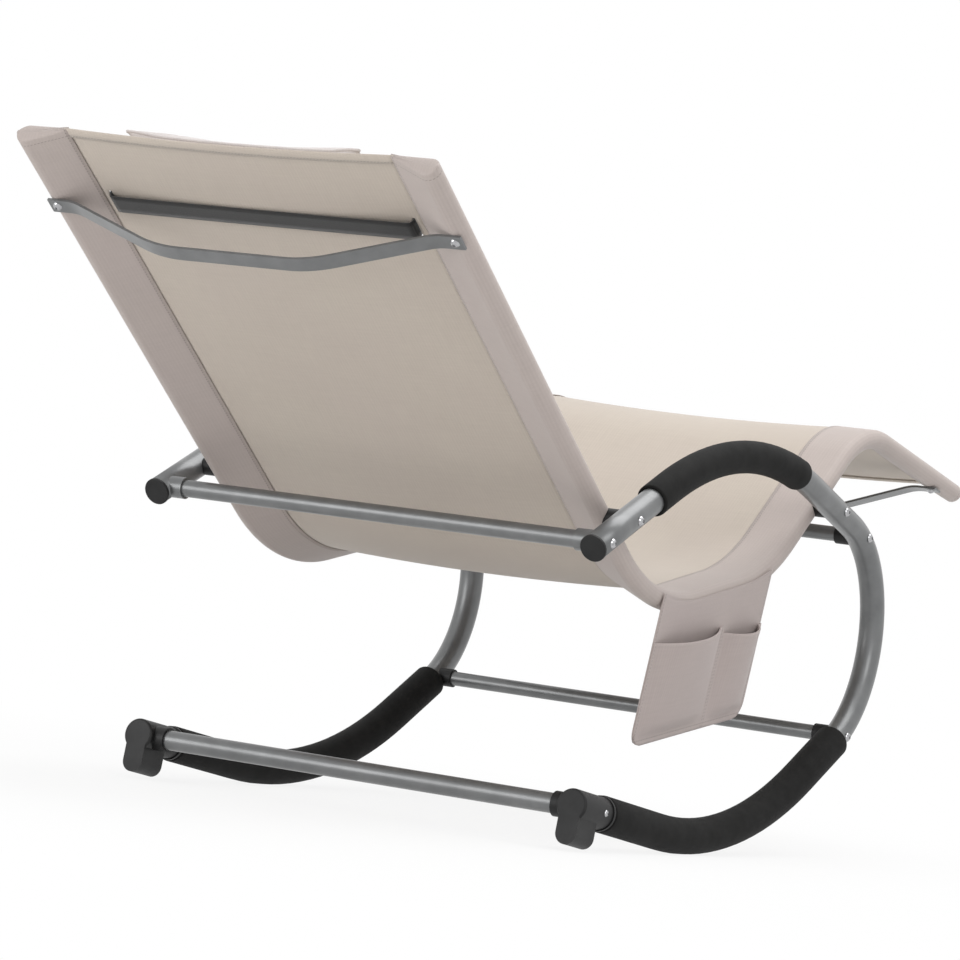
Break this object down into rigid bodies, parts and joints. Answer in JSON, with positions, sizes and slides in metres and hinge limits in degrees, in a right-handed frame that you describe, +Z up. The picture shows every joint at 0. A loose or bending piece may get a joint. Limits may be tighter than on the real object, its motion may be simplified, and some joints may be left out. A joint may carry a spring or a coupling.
{
  "type": "rocking_chaise_lounge",
  "caption": "Rocking chaise lounge: taupe mesh sling on two C-shaped grey tube rockers, with foam arm pads and runner sleeves, a strapped head pillow and a hanging side pocket",
  "frame": {"origin": "On the floor, below the middle of the bounding box", "axes": "+Z up, -Y towards the sitter's feet, +X towards the sitter's left"},
  "size_m": [0.644, 1.5233, 0.7346],
  "materials": {
    "frame_paint": "mid-grey powder coat, satin",
    "foam": "charcoal closed-cell foam, matte",
    "sling_fabric": "taupe woven textilene",
    "sleeve_fabric": "taupe woven textilene, doubled",
    "pillow_fabric": "taupe woven textilene over filling",
    "pocket_fabric": "taupe woven textilene",
    "strap_webbing": "black elastic webbing",
    "black_plastic": "moulded nylon, matte black",
    "bolt_steel": "bright plated",
    "insert_steel": "zinc plated"
  },
  "bodies": {
    "chair": {"side_frame_left": "frame_paint", "arm_end_cap_left": "black_plastic", "armrest_foam_left": "foam", "runner_foam_left": "foam", "rear_foot_left": "black_plastic", "seat_rail_left": "frame_paint", "side_sleeve_left": "sleeve_fabric", "side_frame_right": "frame_paint", "arm_end_cap_right": "black_plastic", "armrest_foam_right": "foam", "runner_foam_right": "foam", "rear_foot_right": "black_plastic", "seat_rail_right": "frame_paint", "side_sleeve_right": "sleeve_fabric", "rear_cross_tube": "frame_paint", "rear_saddles": "black_plastic", "rear_tube_inserts": "insert_steel", "rear_tube_bolts": "bolt_steel", "front_upper_cross_tube": "frame_paint", "front_upper_saddles": "black_plastic", "front_upper_tube_inserts": "insert_steel", "front_upper_tube_bolts": "bolt_steel", "front_lower_cross_tube": "frame_paint", "front_lower_saddles": "black_plastic", "front_lower_tube_inserts": "insert_steel", "front_lower_tube_bolts": "bolt_steel", "heel_cross_tube": "frame_paint", "foot_screws": "bolt_steel", "rail_end_plugs": "black_plastic", "rear_seat_spacers": "black_plastic", "front_seat_spacers": "black_plastic", "seat_bolts": "bolt_steel", "seat_rail_inserts": "insert_steel", "head_bar": "frame_paint", "foot_bar": "frame_paint", "bar_bolts": "bolt_steel", "bar_inserts": "insert_steel", "sling_panel": "sling_fabric", "head_pillow": "pillow_fabric", "pillow_strap": "strap_webbing"},
    "pocket": {"pocket_back": "pocket_fabric", "pocket_front": "pocket_fabric"}
  },
  "joints": [
    {"name": "pocket_swing", "type": "hinge", "parent": "chair", "child": "pocket", "pos_m": [-0.2767, -0.04514, 0.33258], "axis": [0, 0.9859, -0.1673], "range_deg": [0, 75]}
  ]
}
